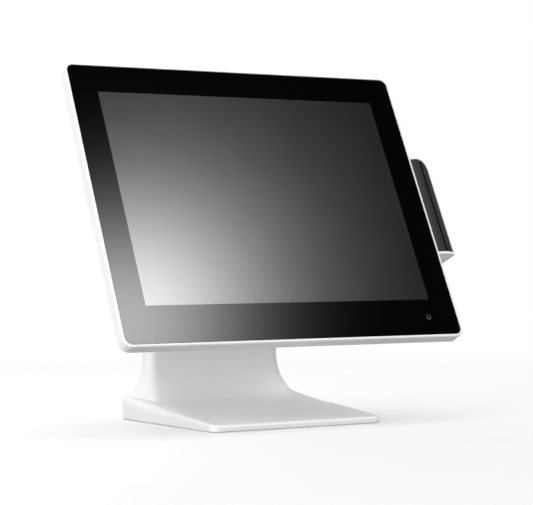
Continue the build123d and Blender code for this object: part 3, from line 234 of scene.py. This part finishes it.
def circuit_board():
    """Green solder mask over faint copper tracks and rows of bright pads."""
    look = Look("circuit_board", IOR=1.5)
    tracks = look.node("ShaderNodeTexBrick", {"Vector": look.place, "Scale": 160.0, "Mortar Size": 0.02})
    pads = look.node("ShaderNodeTexVoronoi", {"Vector": look.place, "Scale": 340.0}, distance="CHEBYCHEV")
    copper = look.remap(tracks.outputs["Fac"], 0.2, 0.8)
    base = look.mix(copper, (0.006, 0.070, 0.030, 1), (0.018, 0.135, 0.060, 1))
    spots = look.remap(pads.outputs["Distance"], 0.16, 0.13)
    base = look.mix(look.math("MULTIPLY", spots, 0.6), base, (0.62, 0.60, 0.52, 1))
    look.set("Base Color", base)
    look.set("Roughness", look.remap(look.noise(0.01), 0.3, 0.7, 0.28, 0.42))
    look.set("Normal", look.bump(copper, 0.00002))
    return look.material


white = shell_white()
glass = screen_glass()
black = reader_black()
steel = metal("zinc_plate", (0.62, 0.63, 0.64, 1), 0.34)
screw_metal = metal("nickel_screw", (0.66, 0.65, 0.62, 1), 0.24, stretch=(4.0, 4.0, 4.0))
rubber = moulded("foot_rubber", (0.012, 0.012, 0.012, 1), (0.026, 0.026, 0.025, 1), 0.78,
                 grain=0.0009, depth=0.00005)
board_green = circuit_board()
slot_looks = {
    "black_glass": glass,
    "white_shell": white,
    "black_plastic": black,
    "foam": moulded("gasket_foam", (0.015, 0.015, 0.015, 1), (0.04, 0.04, 0.04, 1), 0.9,
                    grain=0.001, depth=0.0002),
    "display": moulded("lcd_polariser", (0.020, 0.020, 0.022, 1), (0.026, 0.026, 0.029, 1), 0.35),
    "steel": steel,
    "board": board_green,
    "parts": moulded("component_black", (0.012, 0.012, 0.012, 1), (0.030, 0.030, 0.029, 1), 0.55),
    "alloy": metal("anodised_alloy", (0.74, 0.75, 0.76, 1), 0.30),
    "brass": metal("turned_brass", (0.78, 0.58, 0.27, 1), 0.26, stretch=(5.0, 5.0, 5.0)),
    "iron": metal("coated_iron", (0.10, 0.10, 0.105, 1), 0.55, stretch=(2.0, 2.0, 2.0)),
    "rubber": rubber,
    "screw": screw_metal,
    "cable": moulded("flat_cable", (0.42, 0.42, 0.40, 1), (0.56, 0.56, 0.53, 1), 0.45),
}
for subpart in frame["record"]["subparts"]:
    shown = nodes[subpart["node"]]
    shown.data.materials.clear()
    shown.data.materials.append(slot_looks[subpart["material_slot"]])


# ---------------------------------------------------------------- mesh helpers
def mesh_object(name, points, faces, material, body):
    mesh = bpy.data.meshes.new(name)
    mesh.from_pydata([tuple(p) for p in points], [], faces)
    mesh.materials.append(material)
    made = bpy.data.objects.new(name, mesh)
    bpy.context.scene.collection.objects.link(made)
    shape = bmesh.new()
    shape.from_mesh(mesh)
    bmesh.ops.recalc_face_normals(shape, faces=shape.faces)
    shape.to_mesh(mesh)
    shape.free()
    mesh.shade_smooth()
    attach(made, body)
    return made


# ---------------------------------------------------------------- stand: base and neck skin
base_front, base_rear = -100.0, 100.0
base_half_front, base_half_rear = 91.0, 97.0
base_low = 0.8
base_slope, base_mid_top = 0.085, 15.2
edge_r = 2.8
side_inset, side_inset_rear = 10.0, 1.6  # the sides' top edges are softer
side_drop_rear = 9.0
side_drop_more = 1.0  # all along the sides, on top of the edge's own radius
side_full = 0.65  # share of the depth, from the front, where the sides' edges are fully soft
foot_front = 36.0  # from here back the neck's foot takes up the top
base_corner_front, base_corner_rear = 9.0, 12.0
neck_mid, neck_half_t = 86.0, 11.0
neck_half_w, neck_top_half_w = 75.0, 69.0
neck_corner_r = 9.5
bend_z, bend_r = 62.0, 110.0
sweep_r = 42.0
sweep_top = 60.0
flare_low, flare_high, flare_width, front_flare = 7.0, 60.0, 19.5, 7.0
panel_half_w = 46.0
panel_low = 30.0
panel_share = 0.62  # of the neck's bend, where the back panel ends
notch_half_w, notch_low, notch_high = 20.0, 4.0, 13.0
notch_level = 2  # the skirt's band between the notch's lower and upper edge
rings_above_panel = 4
seam = 0.25
skin_t = 2.4
barrel_gap_r = 15.75

pivot = head_point(0, -10.0, 66.0) / MM
bend_centre = neck_mid - bend_r
reach = math.hypot(pivot.y - bend_centre, pivot.z - bend_z)
bend = math.atan2(pivot.z - bend_z, pivot.y - bend_centre) - math.acos(bend_r / reach)
arm_length = math.sqrt(reach**2 - bend_r**2)
arm_dir = Vector((0, math.sin(bend), -math.cos(bend)))
arm_out = Vector((0, math.cos(bend), math.sin(bend)))


def base_top(y):
    return base_mid_top + base_slope * y


def flare(z):
    share = min(max((z - flare_low) / (flare_high - flare_low), 0.0), 1.0)
    return ((1 + math.cos(math.pi * share)) / 2) ** 1.3


corner_steps = 6
side_steps = 8
front_steps = 12
rear_columns = (panel_half_w, 33.0, notch_half_w, 10.0, 0.0, -10.0, -notch_half_w, -33.0, -panel_half_w)


def loop(half_front, half_rear, front, rear, r_front, r_rear):
    """A closed outline, from the middle of the front to the right and round, as (x, y) pairs."""
    points = []
    straight = half_front - r_front
    for step in range(front_steps // 2):
        points.append((straight * step / (front_steps // 2), front))
    for step in range(corner_steps):
        turn = math.pi / 2 * step / corner_steps
        points.append((straight + r_front * math.sin(turn), front + r_front * (1 - math.cos(turn))))
    for step in range(side_steps):
        share = step / side_steps
        y = front + r_front + (rear - r_rear - front - r_front) * share
        points.append((half_front + (half_rear - half_front) * share, y))
    for step in range(corner_steps):
        turn = math.pi / 2 * step / corner_steps
        points.append((half_rear - r_rear * (1 - math.cos(turn)), rear - r_rear * (1 - math.sin(turn))))
    points.append((half_rear - r_rear, rear))
    points.append(((half_rear - r_rear + panel_half_w) / 2, rear))
    points += [(x, rear) for x in rear_columns if x >= 0]
    mirrored = [(-x, y) for x, y in reversed(points[1:-1])]
    return points + mirrored


def edge_rounding(facing, y):
    """Inset and drop of the base's rounded top edge, where its outline faces this far sideways."""
    towards_rear = (y - base_front) / (base_rear - base_front)
    ease = min(towards_rear / side_full, 1.0)
    sideways = facing**4 * ease * ease * (3 - 2 * ease)
    beside_neck = max((y - foot_front) / (base_rear - foot_front), 0.0)
    soft_inset = side_inset + (side_inset_rear - side_inset) * beside_neck
    inset = edge_r + (soft_inset - edge_r) * sideways
    deeper = side_drop_more + (side_drop_rear - edge_r) * towards_rear**1.5
    return inset, edge_r + deeper * sideways


def stand_rings():
    """Rings of the outer skin from the skirt's lower edge to the barrel, in millimetres."""
    rings = []
    outline = loop(base_half_front, base_half_rear, base_front, base_rear,
                   base_corner_front, base_corner_rear)
    normals = []
    for index in range(len(outline)):
        before, after = outline[index - 1], outline[(index + 1) % len(outline)]
        along = Vector((after[0] - before[0], after[1] - before[1])).normalized()
        normals.append(Vector((along.y, -along.x)))
    skirt_rear = base_top(base_rear) - edge_r - base_low
    notch_shares = [(z - base_low) / skirt_rear for z in (notch_low, notch_high)]
    skirt_shares = (0.0, 0.03, *notch_shares, 0.8, 1.0)
    for share in skirt_shares:
        ring = []
        for (x, y), normal in zip(outline, normals):
            drop = edge_rounding(normal.x, y)[1]
            ring.append(Vector((x, y, base_low + (base_top(y) - drop - base_low) * share)))
        rings.append(ring)
    for turn_deg in (22.5, 45.0, 67.5, 90.0):
        turn = math.radians(turn_deg)
        ring = []
        for (x, y), normal in zip(outline, normals):
            inset, drop = edge_rounding(normal.x, y)
            back = normal * inset * (1 - math.cos(turn))
            ring.append(Vector((x - back.x, y - back.y, base_top(y) - drop * (1 - math.sin(turn)))))
        rings.append(ring)
    top_edge = rings[-1]
    # neck rings: the front rises on a quarter circle while the sides and back flare
    first_turn = 80.0
    start = math.radians(first_turn)
    front_z0 = sweep_top - sweep_r * math.sin(start)
    rear_z0 = base_top(base_rear - edge_r) + 0.1
    panel_share_up = (panel_low - rear_z0) / (sweep_top - rear_z0)
    panel_turn = math.degrees(math.asin((sweep_top - front_z0) * (1 - panel_share_up) / sweep_r))
    neck = []
    for turn_deg in (first_turn, 74.0, 67.0, panel_turn, 53.0, 46.0, 39.0, 32.0, 24.0, 16.0, 8.0, 0.0):
        front_z = sweep_top - sweep_r * math.sin(math.radians(turn_deg))
        share = (front_z - front_z0) / (sweep_top - front_z0)
        rear_z = rear_z0 + (sweep_top - rear_z0) * share
        front = neck_mid - neck_half_t - sweep_r * (1 - math.cos(math.radians(turn_deg)))
        rear = neck_mid + neck_half_t
        half_front = neck_half_w + front_flare * flare(front_z)
        half_rear = neck_half_w + flare_width * flare(rear_z)
        ring = []
        for x, y in loop(half_front, half_rear, front, rear, neck_corner_r, neck_corner_r):
            up = (y - front) / (rear - front)
            ring.append(Vector((x, y, front_z + (rear_z - front_z) * up)))
        neck.append(ring)
    # the base's top, between its edge and the foot of the neck
    for share in (0.2, 0.4, 0.6, 0.78, 0.9):
        ring = []
        for edge, foot in zip(top_edge, neck[0]):
            spot = edge.lerp(foot, share)
            level = base_top(spot.y)
            rise = max(foot.z - base_top(foot.y), 0.0)
            ring.append(Vector((spot.x, spot.y, level + rise * share**3)))
        rings.append(ring)
    rings += neck
    narrowing = neck_top_half_w - neck_half_w
    bend_part = 0.8  # of the narrowing, the rest is on the straight top
    for share in (0.16, 0.31, 0.47, panel_share, 0.81, 1.0):
        turn = bend * share
        half = neck_half_w + narrowing * share * bend_part
        middle = Vector((0, bend_centre + bend_r * math.cos(turn), bend_z + bend_r * math.sin(turn)))
        out = Vector((0, math.cos(turn), math.sin(turn)))
        rings.append([middle + right * x + out * y
                      for x, y in loop(half, half, -neck_half_t, neck_half_t, neck_corner_r, neck_corner_r)])
    for share in (0.5, 1.0):
        half = neck_half_w + narrowing * (bend_part + (1 - bend_part) * share)
        ring = []
        for x, y in loop(half, half, -neck_half_t, neck_half_t, neck_corner_r, neck_corner_r):
            last = math.sqrt(barrel_gap_r**2 - y**2)
            down = last + (arm_length - last) * (1 - share)
            ring.append(pivot + right * x + arm_out * y + arm_dir * down)
        rings.append(ring)
    return rings


rings = stand_rings()
ring_size = len(rings[0])
skin_points = [p * MM for ring in rings for p in ring]


def at_back(index, half):
    """Whether this point of a ring and the next one are on the back, within half of the middle."""
    after = (index + 1) % ring_size
    here = rings[0][index], rings[0][after]
    return all(p.y > base_rear - 0.01 and abs(p.x) < half + 0.01 for p in here)


def level_of(test):
    return next(i for i, ring in enumerate(rings) if test(ring))


back_middle = rings[0].index(min(rings[0], key=lambda p: (round(-p.y, 6), abs(p.x))))
panel_first = level_of(lambda ring: ring[back_middle].z > panel_low - 0.01)
panel_last = len(rings) - 1 - rings_above_panel
skin_faces = []
panel_faces = []
for level in range(len(rings) - 1):
    for index in range(ring_size):
        after = (index + 1) % ring_size
        face = (level * ring_size + index, level * ring_size + after,
                (level + 1) * ring_size + after, (level + 1) * ring_size + index)
        if panel_first <= level < panel_last and at_back(index, panel_half_w):
            panel_faces.append(face)
        elif not (level == notch_level and at_back(index, notch_half_w)):
            skin_faces.append(face)


def thicken(piece, thickness, levels=2):
    """Gives a skin its wall on the inner side and rounds it."""
    wall = piece.modifiers.new("wall", "SOLIDIFY")
    wall.thickness = thickness
    wall.offset = -1.0
    wall.use_even_offset = False
    smooth = piece.modifiers.new("smooth", "SUBSURF")
    smooth.levels = levels
    smooth.render_levels = levels
    return piece


def shrunk(points, faces, amount):
    """The points, with the open border of the faces drawn in along the skin by the amount."""
    shape = bmesh.new()
    made = [shape.verts.new(p) for p in points]
    for face in faces:
        shape.faces.new([made[i] for i in face])
    moves = {}
    for edge in shape.edges:
        if len(edge.link_faces) == 1:
            along = (edge.verts[1].co - edge.verts[0].co).normalized()
            inward = edge.link_faces[0].calc_center_median() - edge.verts[0].co
            inward = (inward - along * inward.dot(along)).normalized()
            for vert in edge.verts:
                moves.setdefault(vert, []).append(inward)
    for vert, directions in moves.items():
        vert.co += sum(directions, Vector()).normalized() * amount
    result = [v.co.copy() for v in made]
    shape.free()
    return result


stand_skin = mesh_object("stand_skin", skin_points, skin_faces, white, "stand")
thicken(stand_skin, skin_t * MM)
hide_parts("stand_body")

panel_points = shrunk(skin_points, panel_faces, 2 * seam * MM)
neck_panel = mesh_object("neck_panel", panel_points, panel_faces, white, "neck_cover")
thicken(neck_panel, skin_t * MM)
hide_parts("neck_back_cover")
# each of the two keeps only the points that its own faces use
for piece in (stand_skin, neck_panel):
    shape = bmesh.new()
    shape.from_mesh(piece.data)
    loose = [v for v in shape.verts if not v.link_faces]
    bmesh.ops.delete(shape, geom=loose, context="VERTS")
    shape.to_mesh(piece.data)
    shape.free()


# ---------------------------------------------------------------- power mark on the glass
def power_mark():
    """A thin printed ring with a bar at its top, just proud of the glass."""
    look = moulded("printed_mark", (0.20, 0.20, 0.205, 1), (0.28, 0.28, 0.285, 1), 0.5)
    centre = (146.0, -133.3)
    bar_low, bar_high = 1.3, 2.6
    ring_r, stroke, lift = 2.05, 0.30, -0.03
    gap = math.radians(38.0)
    steps = 40
    points, faces = [], []
    for step in range(steps + 1):
        turn = math.pi / 2 + gap + (2 * math.pi - 2 * gap) * step / steps
        for r in (ring_r - stroke / 2, ring_r + stroke / 2):
            points.append(head_point(centre[0] + r * math.cos(turn), centre[1] + r * math.sin(turn), lift))
    for step in range(steps):
        first = 2 * step
        faces.append((first, first + 1, first + 3, first + 2))
    first = len(points)
    bar = ((-1, bar_low), (1, bar_low), (1, bar_high), (-1, bar_high))
    for x, y in [(side * stroke / 2, up) for side, up in bar]:
        points.append(head_point(centre[0] + x, centre[1] + y, lift))
    faces.append((first, first + 1, first + 2, first + 3))
    return mesh_object("power_mark", points, faces, look, "head")


power_mark()


# ---------------------------------------------------------------- floor, lights and camera
def square(name, half):
    """A flat square of the stage, this far from its middle to each side."""
    mesh = bpy.data.meshes.new(name)
    corners = [(-half, -half, 0), (half, -half, 0), (half, half, 0), (-half, half, 0)]
    mesh.from_pydata(corners, [], [(0, 1, 2, 3)])
    made = bpy.data.objects.new(name, mesh)
    bpy.context.scene.collection.objects.link(made)
    return made


floor = square("floor", 6.0)
floor_look = Look("studio_floor", Roughness=0.5)
camera_ray = floor_look.node("ShaderNodeLightPath").outputs["Is Camera Ray"]
pale = floor_look.mix(floor_look.noise(0.4), grey(0.90), grey(0.93))
floor_look.set("Base Color", floor_look.mix(camera_ray, grey(0.38), pale))
distance = floor_look.node("ShaderNodeVectorMath", {0: floor_look.place}, operation="LENGTH").outputs["Value"]
from_above = floor_look.math("SUBTRACT", 1.0, floor_look.node("ShaderNodeNewGeometry").outputs["Backfacing"])
fading = floor_look.remap(distance, 1.3, 0.35, 0.0, 0.7)
floor_look.set("Alpha", floor_look.math("MULTIPLY", fading, from_above))
floor.data.materials.append(floor_look.material)

world = bpy.data.worlds.new("studio")
bpy.context.scene.world = world
world.use_nodes = True
tree = world.node_tree
tree.nodes.clear()
world_out = tree.nodes.new("ShaderNodeOutputWorld")
ray = tree.nodes.new("ShaderNodeLightPath")


def surround(below, above):
    """An even grey surround, with its own strength below and above the horizon."""
    height = tree.nodes.new("ShaderNodeSeparateXYZ")
    tree.links.new(tree.nodes.new("ShaderNodeTexCoord").outputs["Generated"], height.inputs[0])
    ramp = tree.nodes.new("ShaderNodeMapRange")
    tree.links.new(height.outputs["Z"], ramp.inputs["Value"])
    for socket, value in (("From Min", -0.25), ("From Max", 0.1), ("To Min", below), ("To Max", above)):
        ramp.inputs[socket].default_value = value
    made = tree.nodes.new("ShaderNodeBackground")
    made.inputs["Color"].default_value = grey(1.0)
    tree.links.new(ramp.outputs[0], made.inputs["Strength"])
    return made.outputs[0]


def chosen_by(kind, otherwise, chosen):
    made = tree.nodes.new("ShaderNodeMixShader")
    tree.links.new(ray.outputs[kind], made.inputs[0])
    tree.links.new(otherwise, made.inputs[1])
    tree.links.new(chosen, made.inputs[2])
    return made.outputs[0]


# white to the camera, an even tent light for the matt surfaces, and dim where it is mirrored
mirrored = 0.15
tent_below, tent_above = 0.36, 0.84
unseen = chosen_by("Is Diffuse Ray", surround(mirrored, mirrored), surround(tent_below, tent_above))
tree.links.new(chosen_by("Is Camera Ray", unseen, surround(1.0, 1.0)), world_out.inputs["Surface"])
bpy.context.scene.view_settings.view_transform = "Standard"

object_centre = Vector((0, 0, 0.16))


def softbox(name, place, width, height, power, target=object_centre):
    light = bpy.data.lights.new(name, "AREA")
    light.shape = "RECTANGLE"
    light.size, light.size_y = width, height
    light.energy = power
    made = bpy.data.objects.new(name, light)
    bpy.context.scene.collection.objects.link(made)
    made.location = place
    made.rotation_euler = (Vector(target) - Vector(place)).to_track_quat("-Z", "Y").to_euler()
    return made


softbox("key_left", (-2.6, -0.6, 0.24), 1.8, 1.3, 35.0)
softbox("top", (0.35, -0.2, 2.6), 3.4, 3.0, 48.0)
softbox("front", (-0.2, -2.8, 1.3), 2.4, 1.6, 18.0)
softbox("front_low", (-1.7, -2.4, 0.28), 1.6, 0.5, 8.0)
softbox("fill_right", (2.3, 0.8, 1.4), 1.4, 1.4, 4.0)
softbox("back", (0.3, 2.6, 1.2), 2.2, 1.4, 10.0)

# camera
camera_data = bpy.data.cameras.new("camera")
camera_data.lens = 114.55
camera_data.sensor_width = 36.0
camera = bpy.data.objects.new("camera", camera_data)
bpy.context.scene.collection.objects.link(camera)
bpy.context.scene.camera = camera
camera_place = Vector((-0.7798, -1.4802, 0.1416))
yaw, pitch, roll = math.radians(28.4), math.radians(0.814), math.radians(-0.75)
camera.matrix_world = (Matrix.Translation(camera_place) @ Matrix.Rotation(-yaw, 4, "Z")
                       @ Matrix.Rotation(math.pi / 2 + pitch, 4, "X") @ Matrix.Rotation(roll, 4, "Z"))

# a card that fades away from one spot, placed where the glass mirrors it towards the camera
mirror = Matrix.Identity(3) - 2 * Matrix([[a * b for b in out_of_screen] for a in out_of_screen])
bright_spot = head_point(-182.0, -134.0, 0)
sight = (bright_spot - camera_place).normalized()
card_distance = 1.1
card_place = bright_spot + (mirror @ sight) * card_distance
card = square("glow_card", 0.75)
card.location = card_place
view_right = (camera.matrix_world.to_3x3() @ Vector((1, 0, 0))).normalized()
card_x = mirror @ (view_right - sight * view_right.dot(sight)).normalized()
card_z = (mirror @ sight).normalized()
card_y = card_z.cross(card_x)
card.rotation_euler = Matrix((card_x, card_y, card_z)).transposed().to_euler()
card.visible_camera = False
card.visible_diffuse = False
card_material = bpy.data.materials.new("glow")
card_material.use_nodes = True
tree = card_material.node_tree
tree.nodes.clear()
glow_widths = (0.160, 0.146, 1.0)  # metres on the card, where the glow has fallen to 1/e
glow_peak = 10.6


def card_node(kind, operation, *values):
    """A maths node on the card's tree; each value is a number, a tuple or another node's output."""
    made = tree.nodes.new(kind)
    made.operation = operation
    for socket, value in zip(made.inputs, values):
        if isinstance(value, bpy.types.NodeSocket):
            tree.links.new(value, socket)
        else:
            socket.default_value = value
    return made.outputs


place_on_card = tree.nodes.new("ShaderNodeTexCoord").outputs["Object"]
shaped = card_node("ShaderNodeVectorMath", "DIVIDE", place_on_card, glow_widths)["Vector"]
ratio = card_node("ShaderNodeVectorMath", "LENGTH", shaped)["Value"]
squared = card_node("ShaderNodeMath", "MULTIPLY", ratio, ratio)[0]
power = card_node("ShaderNodeMath", "MULTIPLY", squared, -1.0)[0]
falloff = card_node("ShaderNodeMath", "POWER", math.e, power)[0]
emission = tree.nodes.new("ShaderNodeEmission")
tree.links.new(card_node("ShaderNodeMath", "MULTIPLY", falloff, glow_peak)[0], emission.inputs["Strength"])
tree.links.new(emission.outputs[0], tree.nodes.new("ShaderNodeOutputMaterial").inputs["Surface"])
card.data.materials.append(card_material)
